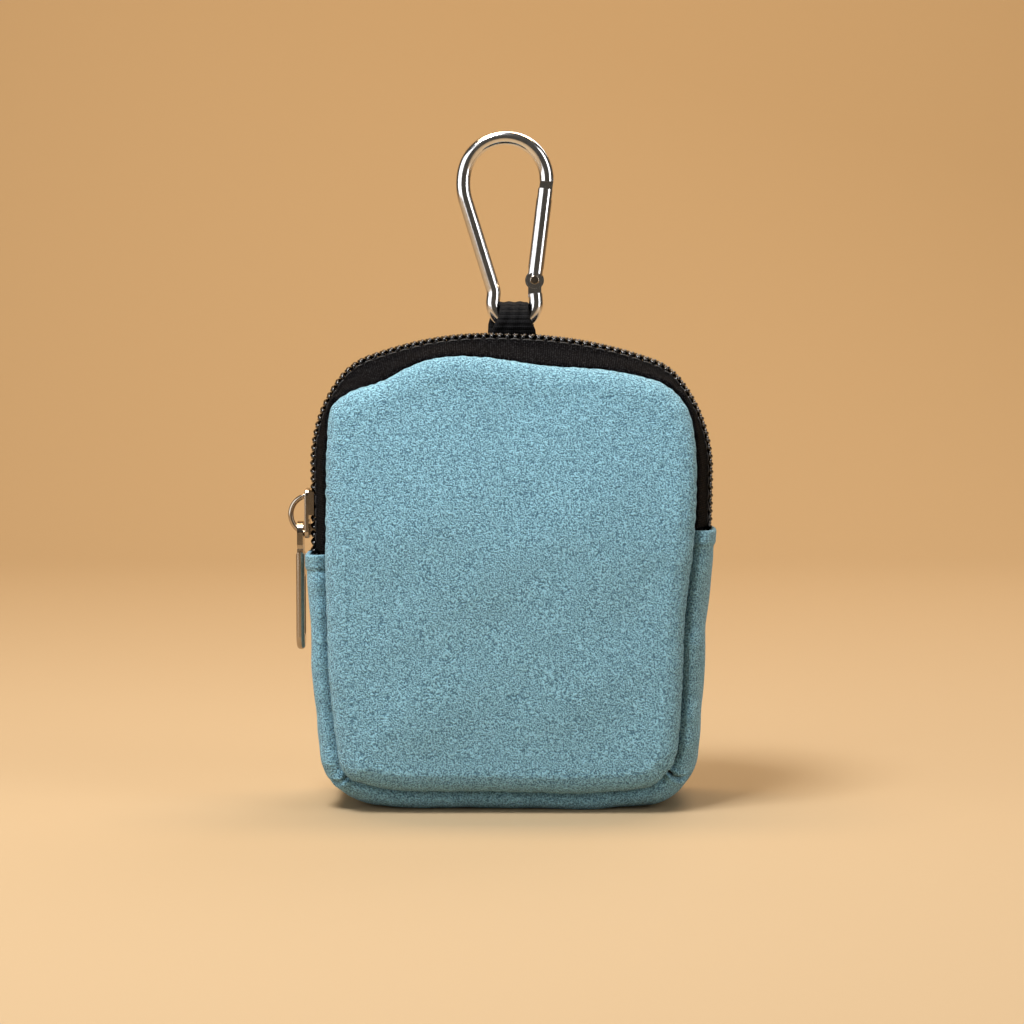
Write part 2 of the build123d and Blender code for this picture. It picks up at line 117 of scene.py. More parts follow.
def outlineTable(step=0.2):
    # right half of the outline, bottom centre to top centre: run, x, z and the angle of its normal
    shape = pouchShape
    run = shape["halfWidth"] - shape["baseFlat"]
    rise = shape["zipFoot"] - shape["baseRadius"]
    lean = math.acos(shape["baseRadius"] / math.hypot(run, rise)) - math.atan2(rise, run)
    turn, cornerTurn = math.radians(shape["shoulderTurn"]), math.radians(shape["cornerTurn"])
    shoulder = (shape["halfWidth"] - shape["shoulderRadius"], shape["straightTop"])
    reach = shape["shoulderRadius"] - shape["cornerRadius"]
    corner = (shoulder[0] + reach * math.cos(turn), shoulder[1] + reach * math.sin(turn))
    turned = turn + cornerTurn
    crownRadius = shape["cornerRadius"] + corner[0] / math.cos(turned)
    crown = (0, corner[1] - (crownRadius - shape["cornerRadius"]) * math.sin(turned))
    base = (shape["baseFlat"], shape["baseRadius"])
    points = []

    def addLine(start, end, angle):
        count = max(2, round(math.dist(start, end) / step))
        for i in range(count):
            share = i / count
            x = start[0] + share * (end[0] - start[0])
            points.append((x, start[1] + share * (end[1] - start[1]), angle))

    def addArc(centre, radius, start, end):
        count = max(2, round(abs(end - start) * radius / step))
        for i in range(count):
            angle = start + (end - start) * i / count
            points.append((centre[0] + radius * math.cos(angle), centre[1] + radius * math.sin(angle), angle))

    foot = (base[0] + base[1] * math.cos(-lean), base[1] + base[1] * math.sin(-lean))
    addLine((0, 0), (base[0], 0), -math.pi / 2)
    addArc(base, base[1], -math.pi / 2, -lean)
    addLine(foot, (shape["halfWidth"], shape["zipFoot"]), -lean)
    addLine((shape["halfWidth"], shape["zipFoot"]), (shape["halfWidth"], shape["straightTop"]), 0)
    addArc(shoulder, shape["shoulderRadius"], 0, turn)
    addArc(corner, shape["cornerRadius"], turn, turned)
    addArc(crown, crownRadius, turned, math.pi / 2)
    points.append((0, crown[1] + crownRadius, math.pi / 2))
    table = np.array(points)
    along = np.concatenate([[0], np.cumsum(np.hypot(np.diff(table[:, 0]), np.diff(table[:, 1])))])
    spread = np.hanning(61) / np.hanning(61).sum()  # the normal turns smoothly where a line meets an arc
    turning = np.convolve(np.pad(table[:, 2], 60, mode="edge"), spread, mode="same")
    return along, table[:, 0], table[:, 1], turning[60:-60]


runTable, xTable, zTable, angleTable = outlineTable()
halfRun = runTable[-1]


def ringPoint(run, inset):  # points of the outline moved inwards, and its outward direction there
    run = np.mod(run, 2 * halfRun)
    left = run > halfRun
    t = np.where(left, 2 * halfRun - run, run)
    angle = np.interp(t, runTable, angleTable)
    outX, outZ = np.cos(angle), np.sin(angle)
    place, reach = pouchShape["leftShoulderRun"]
    bulge = pouchShape["leftShoulder"] * np.exp(-((run - place) / reach) ** 4)
    place, reach = pouchShape["rightWaistRun"]
    bulge = bulge - pouchShape["rightWaist"] * np.exp(-((run - place) / reach) ** 2)
    x = np.interp(t, runTable, xTable) - outX * (inset - bulge)
    z = np.interp(t, runTable, zTable) - outZ * (inset - bulge)
    side = np.where(left, -1.0, 1.0)
    return side * x, z, side * outX, outZ


def seamInset(run):
    inset = seamShape["inset"] + 0 * run
    for place, reach, shift in seamShape["strays"]:
        away = np.mod(run - place + halfRun, 2 * halfRun) - halfRun
        inset = inset + shift * np.exp(-(away / reach) ** 2)
    return inset


def slimmed(y, z):  # the front leans back a little towards the top
    rise = np.clip((z - pouchShape["slimFrom"]) / pouchShape["slimRise"], 0, 1)
    share = pouchShape["slimming"] * rise * rise * (3 - 2 * rise)
    return np.where(y < 0, y * (1 - share * np.clip((-y - 3.5) / 5, 0, 1)), y)


def runAtHeight(level, side):  # run at a height on the right (1) or left (-1) side
    start = np.searchsorted(runTable, pouchShape["baseFlat"] + 2)
    t = np.interp(level, zTable[start:], runTable[start:])
    return t if side > 0 else 2 * halfRun - t


def ripple(x, y, size, seed, waves=7):  # smooth unevenness from -1 to 1, its bumps about size across
    rng = np.random.default_rng(seed)
    total = 0
    for i in range(waves):
        heading, phase = rng.uniform(0, math.pi), rng.uniform(0, 2 * math.pi)
        pace = 2 * math.pi / (size * rng.uniform(0.7, 1.6))
        total = total + np.cos(pace * (x * math.cos(heading) + y * math.sin(heading)) + phase)
    return total / math.sqrt(waves) / 1.4


def smoothPath(points, step):  # a Catmull-Rom curve through the points, evenly sampled
    pts = np.array(points, float)
    pts = np.vstack([2 * pts[0] - pts[1], pts, 2 * pts[-1] - pts[-2]])
    fine = []
    for i in range(1, len(pts) - 2):
        a, b, c, d = pts[i - 1:i + 3]
        for t in np.linspace(0, 1, 24, endpoint=False):
            bend = (2 * a - 5 * b + 4 * c - d) * t**2
            fine.append(0.5 * (2 * b + (c - a) * t + bend + (3 * b - a - 3 * c + d) * t**3))
    fine.append(pts[-2])
    fine = np.array(fine)
    along = np.concatenate([[0], np.cumsum(np.linalg.norm(np.diff(fine, axis=0), axis=1))])
    even = np.linspace(0, along[-1], max(3, round(along[-1] / step) + 1))
    return np.column_stack([np.interp(even, along, fine[:, k]) for k in range(fine.shape[1])]), even


def meshObject(name, verts, faces, cloth, material):  # cloth is each point's place on the flat cloth, in metres
    mesh = bpy.data.meshes.new(name)
    mesh.from_pydata([tuple(v) for v in verts], [], faces)
    rest = mesh.attributes.new("restPlace", "FLOAT_VECTOR", "POINT")
    rest.data.foreach_set("vector", np.asarray(verts, float).ravel())
    flat = mesh.attributes.new("clothPlace", "FLOAT_VECTOR", "POINT")
    flat.data.foreach_set("vector", np.asarray(cloth, float).ravel())
    work = bmesh.new()
    work.from_mesh(mesh)
    bmesh.ops.recalc_face_normals(work, faces=work.faces)
    work.to_mesh(mesh)
    work.free()
    mesh.polygons.foreach_set("use_smooth", [True] * len(mesh.polygons))
    mesh.materials.append(material)
    thing = bpy.data.objects.new(name, mesh)
    bpy.context.scene.collection.objects.link(thing)
    return thing


def loopFaces(rows, columns, closedRows):  # quads over a grid whose columns always wrap round
    faces = []
    for i in range(rows if closedRows else rows - 1):
        a, b = i * columns, (i + 1) % rows * columns
        for j in range(columns):
            k = (j + 1) % columns
            faces.append((a + j, a + k, b + k, b + j))
    if not closedRows:
        faces.append(tuple(range(columns - 1, -1, -1)))
        faces.append(tuple(range((rows - 1) * columns, rows * columns)))
    return faces


def strip(name, material, runFrom, runTo, profile, thick, runStep=0.6, acrossStep=0.45, lift=None,
          closed=False):
    # a cloth strip round the pouch: profile is its outer face as (y, inset), front to back
    path, across = smoothPath(profile, acrossStep)
    y, out = path[:, 0], -path[:, 1]
    ty, to = np.gradient(y, across), np.gradient(out, across)
    size = np.hypot(ty, to)
    ny, no = -to / size, ty / size
    half = thick / 2
    midY, midOut = y - ny * half, out - no * half
    section = []
    for i in range(len(y)):
        section.append((midY[i], midOut[i], ny[i] * half, no[i] * half, ny[i], no[i], across[i], 1))
    for turn in (45, 90, 135):
        c, s = math.cos(math.radians(turn)), math.sin(math.radians(turn))
        section.append((midY[-1], midOut[-1], (ny[-1] * c + no[-1] * s) * half,
                        (no[-1] * c - ny[-1] * s) * half, ny[-1], no[-1], across[-1] + half, 1))
    for i in range(len(y) - 1, -1, -1):
        section.append((midY[i], midOut[i], -ny[i] * half, -no[i] * half, ny[i], no[i], across[i], 0))
    for turn in (135, 90, 45):
        c, s = math.cos(math.radians(turn)), math.sin(math.radians(turn))
        section.append((midY[0], midOut[0], (ny[0] * c - no[0] * s) * half, (no[0] * c + ny[0] * s) * half,
                        ny[0], no[0], -half, 1))
    section = np.array(section)
    count = max(4, round((runTo - runFrom) / runStep))
    if closed:
        run = np.linspace(runFrom, runTo, count, endpoint=False)
        grow = np.ones(count)
    else:
        inner = np.linspace(runFrom + half, runTo - half, count)
        ease = np.array([0.02, 0.15, 0.4, 0.7]) * half
        run = np.concatenate([runFrom + ease, inner, (runTo - ease)[::-1]])
        near = np.clip(np.minimum(run - runFrom, runTo - run) / half, 0, 1)
        grow = np.sqrt(np.clip(1 - (1 - near) ** 2, 0.02, 1))
    runGrid, _ = np.meshgrid(run, section[:, 0], indexing="ij")
    acrossGrid = np.broadcast_to(section[:, 6], runGrid.shape)
    yGrid = section[None, :, 0] + section[None, :, 2] * grow[:, None]
    outGrid = section[None, :, 1] + section[None, :, 3] * grow[:, None]
    if lift is not None:
        raised = lift(runGrid, acrossGrid, yGrid, -outGrid)
        yGrid = yGrid + raised * section[None, :, 4]
        outGrid = outGrid + raised * section[None, :, 5]
    drift = (seamInset(runGrid) - seamShape["cadInset"]) * np.clip((-yGrid - 5) / 11, 0, 1)
    x, z, _, _ = ringPoint(runGrid, drift - outGrid)
    verts = np.stack([x, slimmed(yGrid, z), z], axis=-1).reshape(-1, 3) * mm
    cloth = np.stack([runGrid, acrossGrid, np.zeros_like(runGrid)], axis=-1).reshape(-1, 3) * mm
    return meshObject(name, verts, loopFaces(len(run), len(section), closed), cloth, material)


def dome(name, material, rings, centres):  # closed skin through rings of (x, y, z), with a point at either end
    columns = len(rings[0])
    verts = np.vstack([*rings, [centres[0]], [centres[1]]])
    faces = [f for f in loopFaces(len(rings), columns, False) if len(f) == 4]
    first, last = len(rings) * columns, len(rings) * columns + 1
    for j in range(columns):
        k = (j + 1) % columns
        faces.append((first, k, j))
        faces.append((last, (len(rings) - 1) * columns + j, (len(rings) - 1) * columns + k))
    cloth = np.column_stack([verts[:, 0], verts[:, 2], verts[:, 1]])
    return meshObject(name, verts * mm, faces, cloth * mm, material)


def tube(name, material, paths, radius, sides=8):  # round threads or wires along open paths, in millimetres
    verts, faces, cloth = [], [], []
    for path in paths:
        path = np.asarray(path, float)
        along = np.concatenate([[0], np.cumsum(np.linalg.norm(np.diff(path, axis=0), axis=1))])
        tangent = np.gradient(path, axis=0)
        tangent /= np.linalg.norm(tangent, axis=1)[:, None]
        normal = np.cross(tangent[0], (0.31, 0.87, 0.38))
        ringStart = len(verts)
        for i, (point, direction) in enumerate(zip(path, tangent)):
            normal = normal - direction * np.dot(normal, direction)
            normal /= np.linalg.norm(normal)
            other = np.cross(direction, normal)
            shrink = 0.55 if i in (0, len(path) - 1) else 1.0
            for j in range(sides):
                angle = 2 * math.pi * j / sides
                offset = radius * shrink * (math.cos(angle) * normal + math.sin(angle) * other)
                verts.append((point + offset) * mm)
                cloth.append((along[i] * mm, angle * radius * mm, 0))
        for i in range(len(path) - 1):
            a, b = ringStart + i * sides, ringStart + (i + 1) * sides
            for j in range(sides):
                k = (j + 1) % sides
                faces.append((a + j, a + k, b + k, b + j))
        end = ringStart + (len(path) - 1) * sides
        faces.append(tuple(range(ringStart + sides - 1, ringStart - 1, -1)))
        faces.append(tuple(range(end, end + sides)))
    return meshObject(name, verts, faces, cloth, material)


# crepe polyester: a matt cloth with a close pebbled grain, its pebble tops painted pale as lit and its hollows
# painted deep as shade
clothLook = {
    # pale is the grain's painted lit tone, deep its painted shaded tone
    "pale": "#9AD3E8",
    "deep": "#134B64",
    "grainSize": 0.36,  # mm
    "yarnSize": 0.13,  # mm
    "grainDepth": 0.42,  # mm
    "roughness": 0.88,
}


def crepeCloth(tree):
    rest = addNode(tree, "ShaderNodeAttribute", attribute_name="restPlace").outputs["Vector"]
    grain = addNode(tree, "ShaderNodeTexNoise", {
        "Vector": rest, "Scale": 1 / (clothLook["grainSize"] * mm), "Detail": 0.3, "Roughness": 0.4,
        "Distortion": 0.3,
    }).outputs[0]
    yarn = addNode(tree, "ShaderNodeTexNoise", {
        "Vector": rest, "Scale": 1 / (clothLook["yarnSize"] * mm), "Detail": 2.0, "Roughness": 0.5,
    }).outputs[0]
    patch = addNode(tree, "ShaderNodeTexNoise", {"Vector": rest, "Scale": 55.0, "Detail": 2.0}).outputs[0]
    relief = addNode(tree, "ShaderNodeMapRange", {"Value": grain, "From Min": 0.3, "From Max": 0.7}).outputs[0]
    fleck = addNode(tree, "ShaderNodeMapRange", {"Value": yarn, "From Min": 0.3, "From Max": 0.7}).outputs[0]
    shade = addNode(tree, "ShaderNodeMath", {0: relief, 1: 0.72}, operation="MULTIPLY").outputs[0]
    shade = addNode(tree, "ShaderNodeMath", {0: fleck, 1: 0.28, 2: shade}, operation="MULTIPLY_ADD").outputs[0]
    # painted light and shade: the grain relief that drives the bump also mixes deep (painted shade) towards
    # pale (painted light)
    colour = addNode(tree, "ShaderNodeMix", {
        0: shade, 6: linear(clothLook["deep"]), 7: linear(clothLook["pale"]),
    }, data_type="RGBA").outputs[2]
    worn = addNode(tree, "ShaderNodeMapRange", {"Value": patch, "To Min": 0.96, "To Max": 1.04}).outputs[0]
    colour = addNode(tree, "ShaderNodeHueSaturation", {"Color": colour, "Value": worn}).outputs[0]
    bump = addNode(tree, "ShaderNodeBump", {
        "Height": shade, "Strength": 1.0, "Distance": clothLook["grainDepth"] * mm,
    }).outputs[0]
    return addNode(tree, "ShaderNodeBsdfPrincipled", {
        "Base Color": colour, "Roughness": clothLook["roughness"], "Normal": bump,
        "Sheen Weight": 0.12, "Sheen Roughness": 0.5,
    }).outputs[0]


# black polyester binding: a fine rib across the strip, creased here and there, with painted highlight specks on
# the crests of ribs and creases
bindingLook = {
    "colour": "#020203",
    # raised is the painted highlight colour of those specks
    "raised": "#272729",
    "ribPitch": 0.55,  # mm
    "creaseSize": 0.42,  # mm
    "roughness": 0.8,
    "shine": 0.02,
}


def bindingCloth(tree):
    flat = addNode(tree, "ShaderNodeAttribute", attribute_name="clothPlace").outputs["Vector"]
    rib = addNode(tree, "ShaderNodeTexWave", {
        "Vector": flat, "Scale": 0.314 / (bindingLook["ribPitch"] * mm), "Distortion": 0.8, "Detail": 1.0,
    }, bands_direction="X").outputs[1]
    crease = addNode(tree, "ShaderNodeTexNoise", {
        "Vector": flat, "Scale": 1 / (bindingLook["creaseSize"] * mm), "Detail": 3.0, "Distortion": 1.2,
    }).outputs[0]
    height = addNode(tree, "ShaderNodeMath", {0: rib, 1: 0.12, 2: crease}, operation="MULTIPLY_ADD").outputs[0]
    # painted highlight: where the rib and crease relief is highest the black is mixed towards the raised grey
    paintedSpecks = addNode(tree, "ShaderNodeMapRange", {"Value": height, "From Min": 0.6, "From Max": 0.7}).outputs[0]
    colour = addNode(tree, "ShaderNodeMix", {
        0: paintedSpecks, 6: linear(bindingLook["colour"]), 7: linear(bindingLook["raised"]),
    }, data_type="RGBA").outputs[2]
    bump = addNode(tree, "ShaderNodeBump", {"Height": height, "Strength": 1.0, "Distance": 0.4 * mm}).outputs[0]
    return addNode(tree, "ShaderNodeBsdfPrincipled", {
        "Base Color": colour, "Roughness": bindingLook["roughness"], "Normal": bump,
        "Specular IOR Level": bindingLook["shine"],
    }).outputs[0]


# woven nylon for the zip tape and the webbing: flat yarns over and under, the crossings painted lighter as
# highlight and the hollows between them darker as shade
weaveLook = {
    "colour": "#020203",
    "raised": "#1E1E20",
    "yarnPitch": 0.42,  # mm
    "roughness": 0.72,
    "shine": 0.1,
}


def wovenNylon(tree):
    flat = addNode(tree, "ShaderNodeAttribute", attribute_name="clothPlace").outputs["Vector"]
    pace = 0.314 / (weaveLook["yarnPitch"] * mm)
    warp = addNode(tree, "ShaderNodeTexWave", {"Vector": flat, "Scale": pace, "Distortion": 0.5},
                   bands_direction="X").outputs[1]
    weft = addNode(tree, "ShaderNodeTexWave", {"Vector": flat, "Scale": pace * 0.8, "Distortion": 0.5},
                   bands_direction="Y").outputs[1]
    height = addNode(tree, "ShaderNodeMath", {0: warp, 1: weft}, operation="MULTIPLY").outputs[0]
    # painted light and shade: the weave height mixes the black towards the raised grey on the yarn tops
    colour = addNode(tree, "ShaderNodeMix", {
        0: height, 6: linear(weaveLook["colour"]), 7: linear(weaveLook["raised"]),
    }, data_type="RGBA").outputs[2]
    bump = addNode(tree, "ShaderNodeBump", {
        "Height": height, "Strength": 0.7, "Distance": 0.12 * mm,
    }).outputs[0]
    return addNode(tree, "ShaderNodeBsdfPrincipled", {
        "Base Color": colour, "Roughness": weaveLook["roughness"], "Normal": bump,
        "Specular IOR Level": weaveLook["shine"],
    }).outputs[0]


# thin dark polyester lining, plain weave, its yarn crossings painted lighter as highlight and the gaps darker
# as shade
liningLook = {"colour": "#1B1D20", "raised": "#33363A", "yarnPitch": 0.35, "roughness": 0.7}  # pitch in mm


def liningCloth(tree):
    flat = addNode(tree, "ShaderNodeAttribute", attribute_name="clothPlace").outputs["Vector"]
    pace = 0.314 / (liningLook["yarnPitch"] * mm)
    warp = addNode(tree, "ShaderNodeTexWave", {"Vector": flat, "Scale": pace}, bands_direction="X").outputs[1]
    weft = addNode(tree, "ShaderNodeTexWave", {"Vector": flat, "Scale": pace}, bands_direction="Y").outputs[1]
    height = addNode(tree, "ShaderNodeMath", {0: warp, 1: weft}, operation="MULTIPLY").outputs[0]
    # painted light and shade: the weave height mixes the dark colour towards the raised grey on the yarn tops
    colour = addNode(tree, "ShaderNodeMix", {
        0: height, 6: linear(liningLook["colour"]), 7: linear(liningLook["raised"]),
    }, data_type="RGBA").outputs[2]
    bump = addNode(tree, "ShaderNodeBump", {
        "Height": height, "Strength": 0.4, "Distance": 0.08 * mm,
    }).outputs[0]
    return addNode(tree, "ShaderNodeBsdfPrincipled", {
        "Base Color": colour, "Roughness": liningLook["roughness"], "Normal": bump,
    }).outputs[0]


# black nylon monofilament of the zip coil
coilLook = {"colour": "#040405", "roughness": 0.13}


def coilNylon(tree):
    flat = addNode(tree, "ShaderNodeAttribute", attribute_name="clothPlace").outputs["Vector"]
    scuff = addNode(tree, "ShaderNodeTexNoise", {"Vector": flat, "Scale": 900.0, "Detail": 2.0}).outputs[0]
    rough = addNode(tree, "ShaderNodeMapRange", {
        "Value": scuff, "To Min": coilLook["roughness"] - 0.06, "To Max": coilLook["roughness"] + 0.1,
    }).outputs[0]
    return addNode(tree, "ShaderNodeBsdfPrincipled", {
        "Base Color": linear(coilLook["colour"]), "Roughness": rough, "IOR": 1.53,
    }).outputs[0]


# spun polyester sewing thread
threadLook = {"black": "#141518", "twistPitch": 0.3, "roughness": 0.6}


def sewingThread(tree):
    flat = addNode(tree, "ShaderNodeAttribute", attribute_name="clothPlace").outputs["Vector"]
    twist = addNode(tree, "ShaderNodeTexWave", {
        "Vector": flat, "Scale": 0.314 / (threadLook["twistPitch"] * mm),
    }, bands_direction="DIAGONAL").outputs[1]
    bump = addNode(tree, "ShaderNodeBump", {"Height": twist, "Strength": 0.5, "Distance": 0.05 * mm}).outputs[0]
    return addNode(tree, "ShaderNodeBsdfPrincipled", {
        "Base Color": linear(threadLook["black"]), "Roughness": threadLook["roughness"], "Normal": bump,
    }).outputs[0]


# drawn and tumbled metal: the carabiner's bright rod and the nickel plate of the slider
rodLook = {"colour": "#DCDCDE", "roughness": 0.14}
nickelLook = {"colour": "#AEA294", "roughness": 0.17}


def metal(look):
    def build(tree):
        place = addNode(tree, "ShaderNodeTexCoord").outputs["Object"]
        smear = addNode(tree, "ShaderNodeTexNoise", {"Vector": place, "Scale": 700.0, "Detail": 3.0}).outputs[0]
        rough = addNode(tree, "ShaderNodeMapRange", {
            "Value": smear, "To Min": look["roughness"] - 0.05, "To Max": look["roughness"] + 0.08,
        }).outputs[0]
        bump = addNode(tree, "ShaderNodeBump", {
            "Height": smear, "Strength": 0.12, "Distance": 0.03 * mm,
        }).outputs[0]
        return addNode(tree, "ShaderNodeBsdfPrincipled", {
            "Base Color": linear(look["colour"]), "Metallic": 1.0, "Roughness": rough, "Normal": bump,
        }).outputs[0]
    return build


tealCrepe = newMaterial("tealCrepeCloth", crepeCloth)
blackBinding = newMaterial("blackRibBinding", bindingCloth)
blackWeave = newMaterial("blackWovenNylon", wovenNylon)
darkLining = newMaterial("darkLiningCloth", liningCloth)
blackCoil = newMaterial("blackCoilNylon", coilNylon)
blackThread = newMaterial("blackThread", sewingThread)
brightRod = newMaterial("polishedRod", metal(rodLook))
nickelPlate = newMaterial("nickelPlate", metal(nickelLook))
print("materials made")

# runs where the zip's two ends go under the lower gusset
rightFoot = runAtHeight(pouchShape["zipEndRight"], 1)
leftFoot = runAtHeight(pouchShape["zipEndLeft"], -1)


def withFlap(thing):
    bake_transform(thing)


# front and back panels: padded cloth, crowned between their seams
panelSize = {
    "rim": ((1.7, 15.2), (0.85, 16.3), (0.45, 17.5), (0.55, 18.8), (1.2, 20.2), (2.5, 21.3), (4.6, 22.1)),
    "backRim": ((1.7, 15.2), (0.85, 16.3), (0.45, 17.3), (0.6, 18.3), (1.4, 19.2), (2.7, 19.8), (4.6, 20.2)),
    "crown": 1.9,  # mm, how far the middle stands beyond the rim
    "dent": 0.28,  # mm, soft unevenness
    "dentSize": 26,  # mm
    "pucker": 0.2,  # mm, at the seam
    "puckerPitch": 5.5,  # mm
    "scallop": 0.13,  # mm, how much the stitches draw the edge in and out
    "scallopPitch": 2.2,  # mm
    "rimReach": 5.0,  # mm, where the puckers have died away
    "deepest": 11.5,  # mm, the rim's rings never go further in than this, so they can't cross at the corners
    "padding": 2.2,  # mm, cloth and foam
    "liningGap": 0.1,  # mm
    "lining": 0.4,  # mm
}
panelCentre = (0.0, 57.0)


def panelRings(side, rim, sink, segments=520, innerRings=46):
    run = np.linspace(0, 2 * halfRun, segments, endpoint=False)
    pucker = ripple(run, 0 * run, panelSize["puckerPitch"], 5) * panelSize["pucker"]
    scallop = ripple(run, 0 * run, panelSize["scallopPitch"], 6) * panelSize["scallop"]
    curve, _ = smoothPath(rim, 0.35)
    rings = []
    for extra, depth in curve:
        seam = seamInset(run) if side < 0 else seamShape["cadInset"]
        inset = np.minimum(seam + extra + 0.5 * sink + scallop * (extra < 1.2), panelSize["deepest"])
        x, z, _, _ = ringPoint(run, inset)
        fade = max(0, 1 - extra / panelSize["rimReach"])
        y = np.full_like(x, depth - sink) + pucker * fade
        rings.append([x, y, z])
    edgeX, edgeZ, edgeDepth = rings[-1][0], rings[-1][2], rings[-1][1]
    for share in np.linspace(1, 0, innerRings + 1)[1:-1]:
        x = panelCentre[0] + (edgeX - panelCentre[0]) * share
        z = panelCentre[1] + (edgeZ - panelCentre[1]) * share
        rise = panelSize["crown"] * (1 - share**2)
        dent = ripple(x, z, panelSize["dentSize"], 3 if side < 0 else 9) * panelSize["dent"]
        rings.append([x, edgeDepth + rise + dent * min(1, (1 - share) * 6), z])
    middle = (panelCentre[0], float(np.mean(edgeDepth)) + panelSize["crown"], panelCentre[1])
    rings = [np.column_stack([x, slimmed(side * y, z), z]) for x, y, z in rings]
    return rings, (middle[0], side * middle[1], middle[2])


def makePanel(name, side, rim, sinkOuter, sinkInner, material):
    outer, outerMiddle = panelRings(side, rim, sinkOuter)
    inner, innerMiddle = panelRings(side, rim, sinkInner)
    return dome(name, material, outer[::-1] + inner, (outerMiddle, innerMiddle))


frontPanel = makePanel("frontPanel", -1, panelSize["rim"], 0, panelSize["padding"], tealCrepe)
withFlap(frontPanel)
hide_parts("front_panel_lower", "front_panel_upper", "front_foam_lower", "front_foam_upper")
backPanel = makePanel("backPanel", 1, panelSize["backRim"], 0, panelSize["padding"], tealCrepe)
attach(backPanel, "pouch")
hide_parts("back_panel", "back_foam")
liningOuter = panelSize["padding"] + panelSize["liningGap"]
liningInner = liningOuter + panelSize["lining"]
frontLining = makePanel("frontLining", -1, panelSize["rim"], liningOuter, liningInner, darkLining)
withFlap(frontLining)
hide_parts("front_lining_lower", "front_lining_upper")
backLining = makePanel("backLining", 1, panelSize["backRim"], liningOuter, liningInner, darkLining)
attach(backLining, "pouch")
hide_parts("back_lining")
print("panels made")

# lower gusset: one blue strip round the base and the lower sides, puffed along both seams
gussetSize = {
    "profile": ((-13.9, 7.0), (-15.0, 6.0), (-16.3, 4.75), (-16.7, 3.2), (-15.2, 1.4), (-12.2, 0.35),
                (-8.5, 0.0), (0.0, 0.0), (8.5, 0.0), (12.2, 0.35), (15.2, 1.4), (16.7, 3.2), (16.3, 4.75),
                (15.0, 6.0), (13.9, 7.0)),
    "cloth": 1.2,  # mm
    "hem": 0.45,  # mm, extra thickness where the top edge is folded under
    "hemDepth": 4.0,  # mm
    "dent": 0.3,  # mm
    "dentSize": 17,  # mm
    "pucker": 0.22,  # mm
    "puckerPitch": 4.6,  # mm
    "pleatDepth": 1.6,  # mm, of the right pleat
    "leftPleat": 0.45,  # share of that depth which the left pleat has
    "pleatReach": 0.5,  # mm
    "pleatSlant": 0.45,
    "ridge": 0.3,  # share of the depth to which the cloth rises beside a pleat
    "ridgeAway": 1.6,  # mm
}
gussetFrom, gussetTo = leftFoot - 2 * halfRun, rightFoot
cornerRun = pouchShape["baseFlat"] + 0.62 * pouchShape["baseRadius"] * math.pi / 2


def gussetLift(run, across, y, inset):
    edge = np.minimum(run - gussetFrom, gussetTo - run)
    hem = gussetSize["hem"] * np.clip((gussetSize["hemDepth"] - edge) / 0.8, 0, 1)
    seam = np.exp(-np.maximum(0, 17.5 - np.abs(y)) / 3.0)
    pucker = ripple(run, y * 0.3, gussetSize["puckerPitch"], 11) * gussetSize["pucker"] * seam
    lying = np.clip((inset + 0.2) / 1.2, 0, 1) + np.clip((np.abs(run) - 36) / 8, 0, 1)
    dent = ripple(run, y, gussetSize["dentSize"], 12) * gussetSize["dent"] * np.clip(lying, 0, 1)
    # the pleats lie only on the front edge, and fade where it turns into the seam
    front = np.clip((-11.0 - y) / 3.5, 0, 1) * np.clip((17.6 + y) / 1.2, 0.25, 1)
    pleat = 0
    for place, strength in ((cornerRun, 1.0), (-cornerRun, gussetSize["leftPleat"])):
        slant = run - place - gussetSize["pleatSlant"] * np.sign(place) * (y + 16)
        depth = strength * gussetSize["pleatDepth"]
        pleat = pleat - depth * np.exp(-(slant / gussetSize["pleatReach"]) ** 2)
        beside = (np.abs(slant) - gussetSize["ridgeAway"]) / 1.0
        pleat = pleat + gussetSize["ridge"] * depth * np.exp(-beside ** 2)
    return hem + pucker + dent + pleat * front


lowerGusset = strip("lowerGusset", tealCrepe, gussetFrom, gussetTo, gussetSize["profile"],
                    gussetSize["cloth"], runStep=0.35, acrossStep=0.4, lift=gussetLift)
withFlap(lowerGusset)
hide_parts("lower_gusset")
liningProfile = [(0.93 * y, inset + 1.5) for y, inset in gussetSize["profile"]]
gussetLining = strip("gussetLining", darkLining, gussetFrom + 0.6, gussetTo - 0.6, liningProfile[1:-1],
                     panelSize["lining"], runStep=1.2, acrossStep=0.9)
withFlap(gussetLining)
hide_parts("gusset_lining")
print("gusset made")

# zip: two black strips, their tapes, and the interlocking coil between them
zipSize = {
    "bandProfile": ((-15.4, 6.9), (-16.3, 5.8), (-16.6, 5.0), (-15.6, 4.35), (-13.0, 3.6), (-9.5, 2.75),
                    (-6.4, 1.95), (-4.4, 1.4), (-3.7, 1.55)),
    "tapeProfile": ((-9.0, 3.6), (-5.0, 2.55), (-3.4, 2.35), (-0.35, 2.35)),
    "bandCloth": 0.75,  # mm
    "tapeCloth": 0.5,  # mm
    "gather": 0.22,  # mm, creases of the strip, deeper round the corners
    "creasePitch": 3.4,  # mm
    "swellPitch": 19,  # mm
    "coilPitch": 1.9,  # mm
    "coilReach": (-0.35, 3.15),  # mm, across, from the heads to the sewn side
    "coilInset": (0.45, 1.95),  # mm, outer and inner turns
    "filament": 0.44,  # mm, radius
    "hidden": 2.5,  # mm, how far the zip runs on under the gusset
}
zipFrom, zipTo = rightFoot - zipSize["hidden"], leftFoot + zipSize["hidden"]

# the row of stitches that holds each half of the coil to its tape, in millimetres
stitchSize = {
    "lead": 3.5,
    "length": 2.3,
    "pitch": 3.0,
    "arch": 0.2,
    "inset": 1.74,
    "across": 5.4,
    "thread": 0.17,  # radius
}


